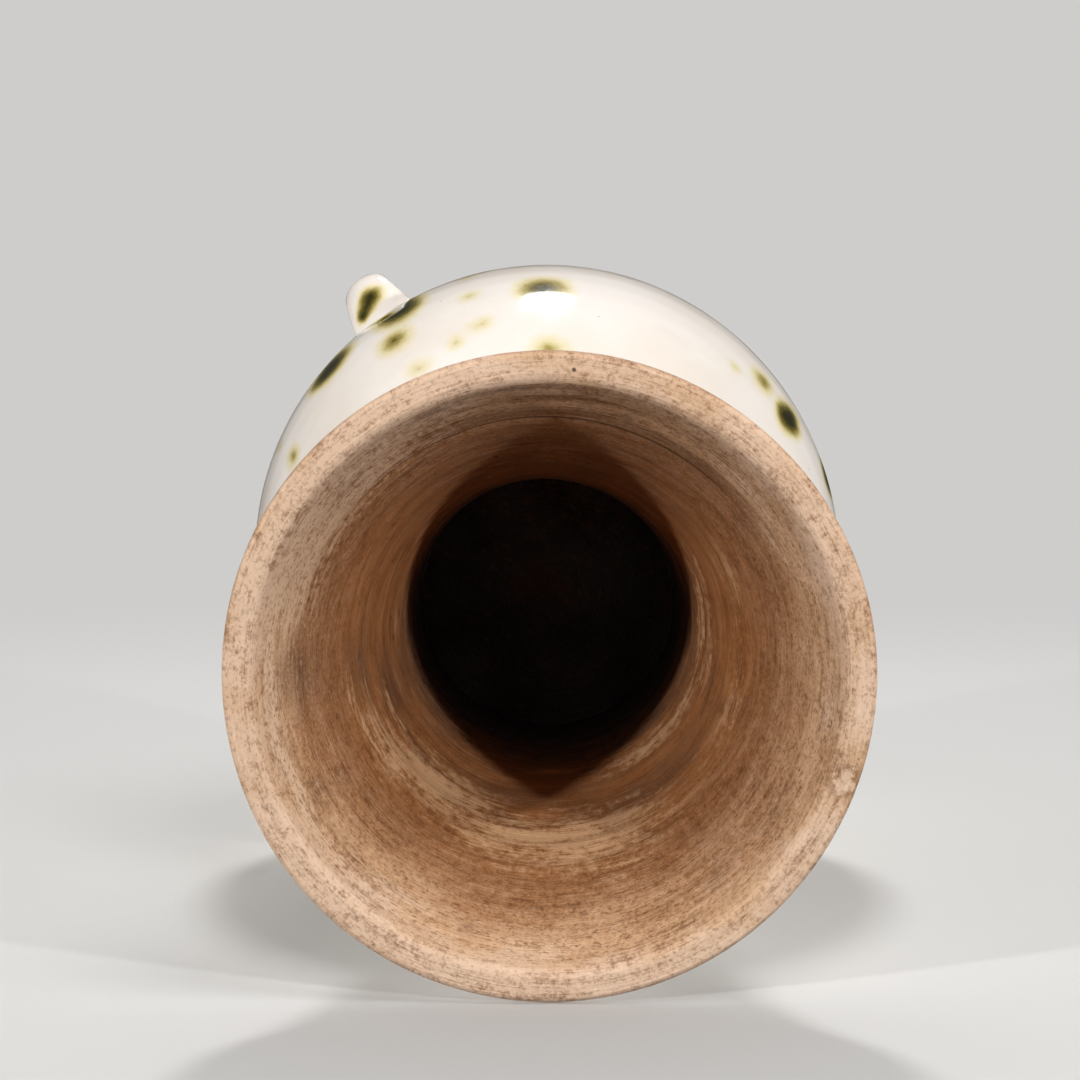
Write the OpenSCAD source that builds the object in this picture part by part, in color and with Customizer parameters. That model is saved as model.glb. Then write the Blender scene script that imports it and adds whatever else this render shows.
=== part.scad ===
// Hand-thrown pedestal jar with two loop ears, in millimetres.
// The jar stands upright on its foot ring. Z is its axis and the ears lie along X.

/* [Foot] */
// Outer radius of the foot at its resting ring
foot_r = 60; // [52:1:68]
// Width of the resting ring, edges included
ring_w = 6.5; // [5:0.5:8]
// Rounding of the ring's two edges
ring_edge = 1.2; // [0.6:0.1:2]
// Depth of the hollow under the foot, up to the underside of the bowl
hollow_depth = 114; // [90:1:140]
// Radius of the hollow at its narrow upper end
throat_r = 27.5; // [22:0.5:32]
// Wall of the foot at its waist
waist_wall = 7; // [5:0.5:9]
// Radius of the fillet that runs the foot out into the bowl
waist_fillet = 10; // [6:0.5:16]

/* [Body] */
// Radius of the jar at the belly
belly_r = 70; // [62:1:80]
// Radius of the curve from the waist up to the belly
bowl_curve = 116; // [95:1:150]
// Radius of the curve from the belly up to the neck
shoulder_curve = 62; // [50:1:72]
// Wall of the bowl and of the shoulder
body_wall = 6; // [4:0.5:8]
// Thickness of the bowl's floor
floor_t = 8; // [5:0.5:12]
// Height of the boss under the bowl, which plugs the foot's throat
boss_h = 3; // [2:0.5:6]
// Height of the lap where the shoulder sits over the bowl
lap_h = 5; // [3:0.5:8]

/* [Neck] */
// Outer radius of the neck at its slimmest
neck_r = 33; // [26:0.5:40]
// Wall of the neck
neck_wall = 5; // [4:0.5:7]
// Radius of the fillet between the shoulder and the neck
neck_fillet = 6; // [3:0.5:10]
// Height of the neck's straight part
neck_h = 6; // [3:0.5:20]
// Radius of the neck's outward flare
flare_curve = 13; // [8:0.5:20]
// Angle through which the neck flares
flare_turn = 48; // [30:1:65]
// Radius of the rolled lip
lip_r = 3.6; // [3.5:0.1:5]
// Depth of the spigot that drops into the shoulder
spigot_h = 4; // [2:0.5:6]

/* [Ears] */
// Height of each ear on the shoulder, as an angle above the belly
ear_turn = 22.5; // [16:0.5:34]
// Height of the ear's centre line above the shoulder
ear_rise = 12; // [10:0.5:16]
// Half of the span between the middles of the ear's two roots
ear_span = 9.5; // [8:0.5:13]
// Width of the ear at its outer bend
ear_w = 11.5; // [9:0.5:16]
// Thickness of the ear at its outer bend
ear_t = 7; // [5:0.5:8]
// Extra width of the ear at its roots
root_flare = 5; // [1:0.5:6]
// How soon the ear narrows above its roots
root_taper = 1.2; // [1:0.1:2.5]

/* [Joints] */
// Room left for slip where two pieces are stuck together
slip = 0.2; // [0.1:0.05:0.4]

/* [Hidden] */

$fn = 96;
// Straight steps in each curve of an outline
steps = 24;
// Rings along an ear and points round each ring
ear_rings = 28;
ear_sides = 20;
// Degrees of arch by which each end of an ear runs on into the shoulder before it is trimmed
ear_overrun = 22;

glaze_colour = [0.93, 0.90, 0.84];
clay_colour = [0.74, 0.60, 0.46];

// The foot and its waist
waist_r = throat_r + waist_wall;
ring_in_r = foot_r - ring_w;
seat_z = hollow_depth + boss_h;

// The bowl leaves the waist at this lean from the upright, where fillet and bowl share a tangent
bowl_lean = acos(1 - (belly_r - waist_r) / (bowl_curve + waist_fillet));
belly_z = seat_z + bowl_curve * sin(bowl_lean);
waist_z = seat_z - waist_fillet * sin(bowl_lean);
bowl_centre = [belly_r - bowl_curve, belly_z];

// The shoulder turns this far before it meets the neck's fillet on a shared tangent
crown_turn = acos(1 - (belly_r - neck_r) / (shoulder_curve + neck_fillet));
crown_z = belly_z + shoulder_curve * sin(crown_turn);
shoulder_centre = [belly_r - shoulder_curve, belly_z];
neck_z = crown_z + neck_fillet * sin(crown_turn);
flare_z = neck_z + neck_h;
flare_centre = [neck_r + flare_curve, flare_z];
bore_r = neck_r - neck_wall;
lap_r = belly_r - body_wall / 2;

// The foot's outer flare touches the rounded ring edge and is upright at the waist
outer_x = waist_r - foot_r + ring_edge;
outer_y = waist_z - ring_edge;
outer_flare = (outer_x ^ 2 + outer_y ^ 2 - ring_edge ^ 2) / (2 * (ring_edge - outer_x));
outer_turn = atan2(outer_y, outer_flare + outer_x);
outer_flare_centre = [waist_r + outer_flare, waist_z];

// The hollow's flare does the same on the inner side of the ring
inner_x = throat_r - ring_in_r - ring_edge;
inner_y = hollow_depth - ring_edge;
inner_flare = (inner_x ^ 2 + inner_y ^ 2 - ring_edge ^ 2) / (2 * (ring_in_r - throat_r));
inner_turn = atan2(inner_y, inner_flare + inner_x);
inner_flare_centre = [throat_r + inner_flare, hollow_depth];

// Points on a circle about a centre, from one angle to another
function arc(centre, radius, from, to) =
    [for (i = [0:steps]) let (a = from + (to - from) * i / steps) centre + radius * [cos(a), sin(a)]];

// Outline of the shoulder's outer face from the belly to the crown, grown by a margin
function shoulder_line(margin) = arc(shoulder_centre, shoulder_curve + margin, 0, crown_turn);

// Trumpet foot, hollow from below, with a socket at its top for the bowl's boss
module pedestal_foot() {
    outer_edge_centre = [foot_r - ring_edge, ring_edge];
    inner_edge_centre = [ring_in_r + ring_edge, ring_edge];
    fillet_centre = [waist_r + waist_fillet, waist_z];
    color(clay_colour)
        rotate_extrude()
            polygon(concat(
                arc(outer_edge_centre, ring_edge, -90, outer_turn),
                arc(outer_flare_centre, outer_flare, 180 + outer_turn, 180),
                arc(fillet_centre, waist_fillet, 180, 180 - bowl_lean),
                [[throat_r, seat_z]],
                arc(inner_flare_centre, inner_flare, 180, 180 + inner_turn),
                arc(inner_edge_centre, ring_edge, 180 + inner_turn, 270)
            ));
}

// Lower bowl, with its floor, the boss that plugs the throat and the tongue of the belly lap
module lower_body() {
    floor_z = seat_z + floor_t;
    boss_r = throat_r - slip;
    inner_curve = bowl_curve - body_wall;
    floor_turn = asin((belly_z - floor_z) / inner_curve);
    tongue_r = lap_r - slip;
    color(glaze_colour)
        rotate_extrude()
            polygon(concat(
                [[0, hollow_depth], [boss_r, hollow_depth], [boss_r, seat_z]],
                arc(bowl_centre, bowl_curve, -bowl_lean, 0),
                [[tongue_r, belly_z], [tongue_r, belly_z + lap_h], [belly_r - body_wall, belly_z + lap_h]],
                arc(bowl_centre, inner_curve, 0, -floor_turn),
                [[0, floor_z]]
            ));
}

// Shoulder, which laps over the bowl at the belly and has a round opening for the neck's spigot
module upper_body() {
    inner_curve = shoulder_curve - body_wall;
    step_z = belly_z + lap_h;
    step_turn = asin(lap_h / inner_curve);
    opening_r = bore_r + neck_wall / 2;
    opening_turn = acos((opening_r - shoulder_centre[0]) / inner_curve);
    color(glaze_colour)
        rotate_extrude()
            polygon(concat(
                [[lap_r, belly_z]],
                shoulder_line(0),
                [[opening_r, crown_z]],
                arc(shoulder_centre, inner_curve, opening_turn, step_turn),
                [[lap_r, step_z]]
            ));
}

// Short flared neck with a rolled lip and a spigot below
module neck() {
    fillet_centre = [neck_r + neck_fillet, neck_z];
    lip_centre = flare_centre + (flare_curve + neck_wall / 2) * [-cos(flare_turn), sin(flare_turn)];
    spigot_r = bore_r + neck_wall / 2 - slip;
    color(glaze_colour)
        rotate_extrude()
            union() {
                polygon(concat(
                    [[bore_r, crown_z - spigot_h], [spigot_r, crown_z - spigot_h], [spigot_r, crown_z]],
                    arc(fillet_centre, neck_fillet, 180 + crown_turn, 180),
                    arc(flare_centre, flare_curve, 180, 180 - flare_turn),
                    arc(flare_centre, flare_curve + neck_wall, 180 - flare_turn, 180)
                ));
                translate(lip_centre)
                    circle(lip_r);
            }
}

// Width and thickness of an ear at an angle along its arch, both fuller at the roots
function root_share(a) = (1 - sin(a)) ^ root_taper;
function ear_width(a) = ear_w + root_flare * root_share(a);
function ear_thickness(a) = ear_t + root_flare / 3 * root_share(a);

// One ring of an ear: an oval square to the arch, whose middle lies on an upright half ellipse
function ear_ring(a) =
    let (along = [ear_rise * cos(a), ear_span * sin(a)])
    let (across = [along[1], -along[0]] / norm(along))
    [for (i = [0:ear_sides - 1])
        let (b = 360 * i / ear_sides)
        let (out = ear_rise * sin(a) + across[0] * ear_thickness(a) / 2 * sin(b))
        let (up = -ear_span * cos(a) + across[1] * ear_thickness(a) / 2 * sin(b))
        [out, ear_width(a) / 2 * cos(b), up]];

// A ring-by-ring skin with a flat cap at each end
module loft(rings) {
    sides = len(rings[0]);
    last = len(rings) - 1;
    walls = [for (r = [0:last - 1], i = [0:sides - 1])
        let (j = (i + 1) % sides)
        each [
            [r * sides + i, (r + 1) * sides + i, (r + 1) * sides + j],
            [r * sides + i, (r + 1) * sides + j, r * sides + j]
        ]];
    first_cap = [[for (i = [0:sides - 1]) i]];
    last_cap = [[for (i = [sides - 1:-1:0]) last * sides + i]];
    polyhedron([for (ring = rings) each ring], concat(walls, first_cap, last_cap), convexity = 4);
}

// Loop ear on the +X side, trimmed to the shoulder that it is stuck on
module ear() {
    first = -ear_overrun;
    span = 180 + 2 * ear_overrun;
    root_x = shoulder_centre[0] + shoulder_curve * cos(ear_turn);
    root_z = belly_z + shoulder_curve * sin(ear_turn);
    color(glaze_colour)
        difference() {
            translate([root_x, 0, root_z])
                rotate([0, -ear_turn, 0])
                    loft([for (i = [0:ear_rings]) ear_ring(first + span * i / ear_rings)]);
            rotate_extrude()
                polygon(concat(
                    [[0, belly_z - ear_span], [belly_r + slip, belly_z - ear_span]],
                    shoulder_line(slip),
                    [[0, crown_z]]
                ));
        }
}

module right_ear() {
    ear();
}

module left_ear() {
    rotate([0, 0, 180])
        ear();
}

pedestal_foot();
lower_body();
upper_body();
neck();
left_ear();
right_ear();
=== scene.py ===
"""Looks of a hand-thrown pedestal jar with two ears: white glaze, green splashes and a bare clay foot."""

import math
import random

import bmesh
import bpy
from mathutils import Matrix, Vector


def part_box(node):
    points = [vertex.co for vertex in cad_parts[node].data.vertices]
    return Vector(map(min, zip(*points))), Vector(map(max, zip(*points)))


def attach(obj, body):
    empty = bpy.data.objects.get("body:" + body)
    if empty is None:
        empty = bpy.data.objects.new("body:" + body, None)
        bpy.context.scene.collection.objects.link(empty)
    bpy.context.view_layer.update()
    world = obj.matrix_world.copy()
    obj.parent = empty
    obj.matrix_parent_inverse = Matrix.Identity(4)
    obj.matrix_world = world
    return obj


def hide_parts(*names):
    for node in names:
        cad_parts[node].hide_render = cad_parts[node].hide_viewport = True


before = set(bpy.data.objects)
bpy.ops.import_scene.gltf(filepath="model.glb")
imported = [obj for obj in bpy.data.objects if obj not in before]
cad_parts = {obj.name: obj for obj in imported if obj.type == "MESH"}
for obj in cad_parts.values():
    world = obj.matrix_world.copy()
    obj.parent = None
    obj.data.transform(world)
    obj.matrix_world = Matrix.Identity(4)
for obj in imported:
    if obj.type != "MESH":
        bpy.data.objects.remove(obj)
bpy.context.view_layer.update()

MM = 0.001
TURN = 2 * math.pi

# Sizes that the frame gives, from the low and the high corner of a piece's box
foot_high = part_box("pedestal_foot")[1]
bowl_low, bowl_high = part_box("lower_body")
shoulder_low, shoulder_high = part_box("upper_body")
neck_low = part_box("neck")[0]
ear_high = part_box("right_ear")[1]
FOOT_R = foot_high.x
SEAT_Z = foot_high.z
HOLLOW_Z = bowl_low.z
BELLY_R = bowl_high.x
BELLY_Z = shoulder_low.z
LAP_TOP = bowl_high.z
CROWN_Z = shoulder_high.z
SPIGOT_Z = neck_low.z
EAR_REACH = ear_high.x

# Walls and curves of the thrown pieces
RING_W = 6.5 * MM
RING_EDGE = 1.2 * MM
WORN_EDGE = 2.6 * MM
THROAT_R = 27.5 * MM
WAIST_R = 34.5 * MM
WAIST_FILLET = 10 * MM
BOWL_CURVE = 116 * MM
SHOULDER_CURVE = 62 * MM
BODY_WALL = 6 * MM
FLOOR_T = 8 * MM
NECK_R = 33 * MM
NECK_WALL = 5 * MM
NECK_FILLET = 6 * MM
NECK_H = 6 * MM
FLARE_CURVE = 13 * MM
FLARE_TURN = math.radians(48)
LIP_R = 3.6 * MM
SLIP = 0.2 * MM

# Ears
EAR_TURN = math.radians(22.5)
EAR_RISE = 12 * MM
EAR_SPAN = 9.5 * MM
EAR_W = 11.5 * MM
EAR_T = 7 * MM
EAR_ROOT_FLARE = 5 * MM
ROOT_TAPER = 1.2
EAR_SMEAR = 1.2 * MM
EAR_SMEAR_H = 3 * MM
EAR_OVERRUN = math.radians(20)

# Marks of the hand: slow wobble, throwing ridges and their pitch
WOBBLE = 0.16 * MM
RIDGE = 0.02 * MM
RIDGE_PITCH = 9 * MM
HOLLOW_RIDGE = 0.14 * MM
HOLLOW_PITCH = 7.5 * MM
TURNING_RIDGE = 0.04 * MM
TURNING_PITCH = 2.2 * MM

# Waves of the wobble: lobes round the jar, share, phase, and twist for each metre of height
WOBBLE_WAVES = [(2, 1.0, 0.8, 9), (3, 0.6, 2.1, -14), (5, 0.35, 4.0, 31)]

# Height on the outside of the ring above which the glaze is whole
GLAZE_START = 5 * MM

# Mesh density: steps along the outlines, then steps round the axis and on the ears
EDGE_STEP = 0.2 * MM
FILLET_STEP = 0.4 * MM
ROLL_STEP = 0.5 * MM
FINE_STEP = 0.6 * MM
BORE_STEP = 0.8 * MM
STEP = 1.5 * MM
FOOT_SEGMENTS = 288
SEGMENTS = 192
EAR_SIDES = 40
EAR_RINGS = 72
MERGE = 0.001 * MM
SHARP = math.radians(35)

# Heights and centres of the curves, each tangent to the next
BOWL_LEAN = math.acos(1 - (BELLY_R - WAIST_R) / (BOWL_CURVE + WAIST_FILLET))
WAIST_Z = SEAT_Z - WAIST_FILLET * math.sin(BOWL_LEAN)
BOWL_CENTRE = (BELLY_R - BOWL_CURVE, BELLY_Z)
SHOULDER_CENTRE = (BELLY_R - SHOULDER_CURVE, BELLY_Z)
CROWN_TURN = math.asin((CROWN_Z - BELLY_Z) / SHOULDER_CURVE)
NECK_Z = CROWN_Z + NECK_FILLET * math.sin(CROWN_TURN)
FLARE_CENTRE = (NECK_R + FLARE_CURVE, NECK_Z + NECK_H)
BORE_R = NECK_R - NECK_WALL
LAP_R = BELLY_R - BODY_WALL / 2
RING_IN_R = FOOT_R - RING_W


def flare(narrow_r, edge_r, edge_centre_r, edge, top):
    """Centre, radius and turn of a foot curve, upright at the top and tangent to a rounded ring edge."""
    across = narrow_r - edge_centre_r
    up = top - edge
    outward = edge_r > edge_centre_r
    grown = edge if outward else -edge
    radius = (across ** 2 + up ** 2 - edge ** 2) / (2 * (grown - across))
    return (narrow_r + radius, top), radius, math.atan2(up, radius + across)


OUTER_CENTRE, OUTER_CURVE, OUTER_TURN = flare(WAIST_R, FOOT_R, FOOT_R - RING_EDGE, RING_EDGE, WAIST_Z)
INNER_CENTRE, INNER_CURVE, INNER_TURN = flare(
    THROAT_R, RING_IN_R, RING_IN_R + WORN_EDGE, WORN_EDGE, HOLLOW_Z
)


def outer_radius(z):
    """Radius of the jar's outside at a height."""
    if z < WAIST_Z:
        return OUTER_CENTRE[0] - math.sqrt(OUTER_CURVE ** 2 - (WAIST_Z - z) ** 2)
    if z < SEAT_Z:
        return WAIST_R + WAIST_FILLET - math.sqrt(WAIST_FILLET ** 2 - (z - WAIST_Z) ** 2)
    if z < BELLY_Z:
        return BOWL_CENTRE[0] + math.sqrt(BOWL_CURVE ** 2 - (BELLY_Z - z) ** 2)
    if z < CROWN_Z:
        return SHOULDER_CENTRE[0] + math.sqrt(SHOULDER_CURVE ** 2 - (z - BELLY_Z) ** 2)
    return NECK_R


# Mesh tools
def arc(centre, radius, start, end, step, crowded=True):
    """Points on an arc in the plane of radius and height, closer at both ends if crowded."""
    count = max(6, round(abs(end - start) * radius / step))
    points = []
    for i in range(count + 1):
        share = i / count
        if crowded:
            share = (1 - math.cos(math.pi * share)) / 2
        angle = start + (end - start) * share
        points.append((centre[0] + radius * math.cos(angle), centre[1] + radius * math.sin(angle)))
    return points


def straight(start, end, step):
    """Points on a straight line in the plane of radius and height."""
    count = max(1, round(math.dist(start, end) / step))
    return [tuple(s + (e - s) * i / count for s, e in zip(start, end)) for i in range(count + 1)]


def thrown(stretches, segments, closed):
    """Outline stretches joined end to end and turned about the jar's axis."""
    outline = []
    for point in [p for stretch in stretches for p in stretch]:
        if not outline or math.dist(point, outline[-1]) > MERGE:
            outline.append(point)
    if closed and math.dist(outline[0], outline[-1]) < MERGE:
        outline.pop()
    bm = bmesh.new()
    verts = [bm.verts.new((r, 0, z)) for r, z in outline]
    following = verts[1:] + verts[:1] if closed else verts[1:]
    edges = [bm.edges.new(pair) for pair in zip(verts, following)]
    bmesh.ops.spin(
        bm, geom=verts + edges, cent=(0, 0, 0), axis=(0, 0, 1), angle=TURN, steps=segments, use_merge=True
    )
    bmesh.ops.remove_doubles(bm, verts=bm.verts, dist=MERGE)
    bmesh.ops.recalc_face_normals(bm, faces=bm.faces)
    return bm


def hand_marks(angle, z):
    """Radial shift that the potter's hand leaves at a place on the wall."""
    slow = 0
    for lobes, share, phase, twist in WOBBLE_WAVES:
        slow += share * math.sin(lobes * angle + phase + twist * z)
    return WOBBLE * slow + RIDGE * math.sin(TURN * z / RIDGE_PITCH + angle)


def wobble(bm):
    """Moves every vertex by the hand's marks, and by less near the axis and out on the ears."""
    for vert in bm.verts:
        r = math.hypot(vert.co.x, vert.co.y)
        if r < MERGE:
            continue
        angle = math.atan2(vert.co.y, vert.co.x)
        share = min(1, r / THROAT_R) * min(1, max(0, (EAR_REACH - r) / (EAR_REACH - BELLY_R)))
        grown = 1 + hand_marks(angle, vert.co.z) * share / r
        vert.co.x *= grown
        vert.co.y *= grown


def finished(name, bm, materials):
    """The piece's object, riding on the jar and standing for the CAD node of the same name."""
    bmesh.ops.recalc_face_normals(bm, faces=bm.faces)
    mesh = bpy.data.meshes.new(name + "_mesh")
    bm.to_mesh(mesh)
    bm.free()
    for material in materials:
        mesh.materials.append(material)
    mesh.shade_smooth()
    mesh.set_sharp_from_angle(angle=SHARP)
    piece = bpy.data.objects.new(name + "_finish", mesh)
    bpy.context.scene.collection.objects.link(piece)
    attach(piece, "root")
    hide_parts(name)
    return piece


# Material tools
def srgb(red, green, blue, alpha=1.0):
    """Linear colour of the 0 to 255 values that a screen shows."""
    shares = [value / 255 for value in (red, green, blue)]
    linear = [v / 12.92 if v <= 0.04045 else ((v + 0.055) / 1.055) ** 2.4 for v in shares]
    return (*linear, alpha)


def add(tree, kind, inputs=None, **settings):
    """A shader node with its settings, whose inputs are set or linked."""
    node = tree.nodes.new("ShaderNode" + kind)
    for name, value in settings.items():
        setattr(node, name, value)
    for key, value in (inputs or {}).items():
        if isinstance(value, bpy.types.NodeSocket):
            tree.links.new(value, node.inputs[key])
        else:
            node.inputs[key].default_value = value
    return node


def calc(tree, operation, *values):
    """Result of a Math node."""
    return add(tree, "Math", dict(enumerate(values)), operation=operation).outputs[0]


def vector(tree, operation, *values, output="Vector"):
    """Result of a Vector Math node."""
    return add(tree, "VectorMath", dict(enumerate(values)), operation=operation).outputs[output]


def mixed(tree, share, first, second):
    """Colour between two colours."""
    return add(tree, "Mix", {0: share, 6: first, 7: second}, data_type="RGBA").outputs[2]


def product(tree, value, *others):
    """Several values multiplied together."""
    for other in others:
        value = calc(tree, "MULTIPLY", value, other)
    return value


def swing(tree, base, *waves):
    """A value that swings about a base by (noise, amount) pairs."""
    for wave, amount in waves:
        base = calc(tree, "ADD", base, calc(tree, "MULTIPLY_ADD", wave, amount, -amount / 2))
    return base


def ramped(tree, value, low, high, to_low=0.0, to_high=1.0):
    """A value eased from one range to another."""
    inputs = {"Value": value, "From Min": low, "From Max": high, "To Min": to_low, "To Max": to_high}
    return add(tree, "MapRange", inputs, interpolation_type="SMOOTHSTEP").outputs["Result"]


def noise(tree, position, scale, detail=2.0, roughness=0.5, output="Fac"):
    """Noise at a number of features per metre."""
    inputs = {"Vector": position, "Scale": scale, "Detail": detail, "Roughness": roughness}
    return add(tree, "TexNoise", inputs).outputs[output]


def colour_ramp(tree, value, stops):
    """Colour read off a ramp of (place, colour) stops."""
    node = add(tree, "ValToRGB", {"Fac": value})
    ramp = node.color_ramp
    while len(ramp.elements) < len(stops):
        ramp.elements.new(0.5)
    for element, (place, colour) in zip(ramp.elements, stops):
        element.position = place
        element.color = colour
    return node


def new_group(name, inputs, outputs):
    """A shader node group with named sockets, as (group, its input node, its output node)."""
    group = bpy.data.node_groups.new(name, "ShaderNodeTree")
    for socket, kind in inputs.items():
        group.interface.new_socket(name=socket, in_out="INPUT", socket_type="NodeSocket" + kind)
    for socket, kind in outputs.items():
        group.interface.new_socket(name=socket, in_out="OUTPUT", socket_type="NodeSocket" + kind)
    return group, group.nodes.new("NodeGroupInput"), group.nodes.new("NodeGroupOutput")


def placed(tree, group, **inputs):
    """A node that holds a group, with its inputs set or linked."""
    node = tree.nodes.new("ShaderNodeGroup")
    node.node_tree = group
    for key, value in inputs.items():
        if isinstance(value, bpy.types.NodeSocket):
            tree.links.new(value, node.inputs[key])
        else:
            node.inputs[key].default_value = value
    return node


def new_material(name):
    """A node material, as (material, its tree, its Principled shader)."""
    material = bpy.data.materials.new(name)
    material.use_nodes = True
    return material, material.node_tree, material.node_tree.nodes["Principled BSDF"]


def on_wall(azimuth, height):
    """Point on the jar's outside, from an angle in degrees and a height in millimetres."""
    angle = math.radians(azimuth)
    r = outer_radius(height * MM)
    return Vector((r * math.cos(angle), r * math.sin(angle), height * MM))


def in_hollow(azimuth, depth):
    """Point on the foot's hollow, from an angle in degrees and a depth in millimetres."""
    angle = math.radians(azimuth)
    r = INNER_CENTRE[0] - math.sqrt(INNER_CURVE ** 2 - (HOLLOW_Z - depth * MM) ** 2)
    return Vector((r * math.cos(angle), r * math.sin(angle), depth * MM))


# Distance from a spot's middle at which its colour is gone, as written and as measured in half widths
FADED = 1.5
SPREAD = 1.35

# How softly neighbouring spots run together
SPOT_BLEND = 0.25


def spot_field(name, spots, waver, features):
    """Group that gives how far a place is from the nearest of the spots, where 1 is a spot's edge.
    A spot is (centre, width, height, distance given at its middle), and its edge wavers by a length."""
    group, given, result = new_group(name, {"Position": "Vector"}, {"Distance": "Float"})
    position = given.outputs["Position"]
    drift = vector(group, "SUBTRACT", noise(group, position, features, 1.5, output="Color"), (0.5,) * 3)
    shifted = vector(group, "ADD", position, vector(group, "MULTIPLY", drift, (2 * waver,) * 3))
    nearest = None
    for centre, width, height, least in spots:
        scale = Vector((2 / width, 2 / width, 2 / height))
        offset = -Vector(s * c for s, c in zip(scale, centre))
        local = vector(group, "MULTIPLY_ADD", shifted, tuple(scale), tuple(offset))
        distance = vector(group, "LENGTH", local, output="Value")
        distance = calc(group, "MULTIPLY_ADD", distance, (FADED - least) / SPREAD, least)
        nearest = calc(group, "SMOOTH_MIN", nearest, distance, SPOT_BLEND) if nearest else distance
    group.links.new(nearest, result.inputs["Distance"])
    return group


# How much of its dark core a splash lacks: none, enough to leave it olive, or all but a pale trace
DARK, OLIVE, TRACE = 0.0, 0.68, 1.05

# Green splashes: angle, height, width and tallness in millimetres, and depth of colour
SEEN_SPLASHES = [
    (34.4, 166, 13.5, 19, 0.42),
    (4.9, 184, 13.5, 31, DARK),
    (2.1, 161, 9.6, 16, OLIVE),
    (347.4, 181.5, 15, 22, DARK),
    (330.1, 162, 6.5, 12, 0.85),
    (93, 169.5, 9.6, 23, DARK),
    (84, 171, 7.8, 17, 0.75),
    (108.8, 187, 10, 20, DARK),
    (35.4, 137.4, 9, 12, 0.85),
    (20.8, 150.3, 6.5, 9, TRACE),
    (14.5, 146, 5.5, 8, TRACE),
    (4.4, 143, 7, 9, TRACE),
    (19.6, 168, 6, 9, TRACE),
    (19.4, 191, 6, 9, TRACE),
    (77.6, 162, 4, 7, TRACE),
    (329.1, 180, 4, 7, TRACE),
]

# The right ear's splash runs down its underside: place and width at its top and its tip, in millimetres
EAR_SPLASH_TOP = (Vector((75.6, 0.9, 212.2)), 7.2)
EAR_SPLASH_TIP = (Vector((72.2, -3.8, 210.6)), 4.0)
EAR_SPLASH_STEPS = 9
EAR_SPLASH_DEPTH = 0.3

# The left ear's splash: share of the ear's rise, then sideways place, width and tallness in millimetres
LEFT_EAR_SPLASH = (0.55, 3, 7, 9)

# Splashes on the other sides: how many, degrees from one to the next, lowest height and rise in millimetres
UNSEEN_COUNT = 64
UNSEEN_TURN = 137.508
UNSEEN_LOW = 128
UNSEEN_RISE = 112

# Part of the jar that the photograph shows: angles up to one and from another, below a height
SEEN_TO = 122
SEEN_FROM = 312
SEEN_TOP = 200


def unseen_splashes():
    """Splashes of the same kind for the sides and the shoulder that the photograph doesn't show."""
    rng = random.Random(11)
    spots = []
    for i in range(UNSEEN_COUNT):
        azimuth = (i * UNSEEN_TURN + rng.uniform(-12, 12)) % 360
        height = UNSEEN_LOW + UNSEEN_RISE * (i + 0.5) / UNSEEN_COUNT + rng.uniform(-4, 4)
        seen = (azimuth < SEEN_TO or azimuth > SEEN_FROM) and height < SEEN_TOP
        width = rng.choice((4, 5, 7, 9, 11, 12))
        depths = (DARK, DARK, DARK, OLIVE, TRACE) if width > 5 else (OLIVE, TRACE)
        depth = rng.choice(depths)
        if not seen:
            spots.append((azimuth, height, width, width * rng.uniform(1.2, 1.9), depth))
    return spots


FOOT_SPLASHES = [
    (150, 92, 8, 15, DARK),
    (205, 48, 7, 13, OLIVE),
    (262, 78, 9, 17, DARK),
    (300, 35, 5, 9, OLIVE),
    (20, 64, 8, 14, DARK),
    (72, 96, 6, 10, OLIVE),
    (105, 30, 6, 11, OLIVE),
    (330, 100, 5, 8, OLIVE),
]
NECK_SPLASHES = [
    (25, 262, 7, 12, DARK),
    (140, 258, 6, 10, OLIVE),
    (215, 266, 8, 12, DARK),
    (305, 260, 5, 9, OLIVE),
]


def splash_spots():
    """Every splash as a spot on the jar, with one on the underside of the right ear and one on the left."""
    spots = []
    listed = SEEN_SPLASHES + unseen_splashes() + FOOT_SPLASHES + NECK_SPLASHES
    for azimuth, height, width, tall, depth in listed:
        spots.append((on_wall(azimuth, height), width * MM, tall * MM, depth))
    ear_centre = on_wall(0, 1000 * (BELLY_Z + SHOULDER_CURVE * math.sin(EAR_TURN)))
    (top, top_width), (tip, tip_width) = EAR_SPLASH_TOP, EAR_SPLASH_TIP
    for i in range(EAR_SPLASH_STEPS):
        share = i / (EAR_SPLASH_STEPS - 1)
        width = (top_width + (tip_width - top_width) * share) * MM
        spots.append((top.lerp(tip, share) * MM, width, width, EAR_SPLASH_DEPTH))
    out, sideways, width, tall = LEFT_EAR_SPLASH
    outside = Vector((-EAR_RISE * out, sideways * MM, ear_centre.z + EAR_SPAN))
    spots.append((outside - ear_centre.xy.to_3d(), width * MM, tall * MM, DARK))
    return spots


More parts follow.
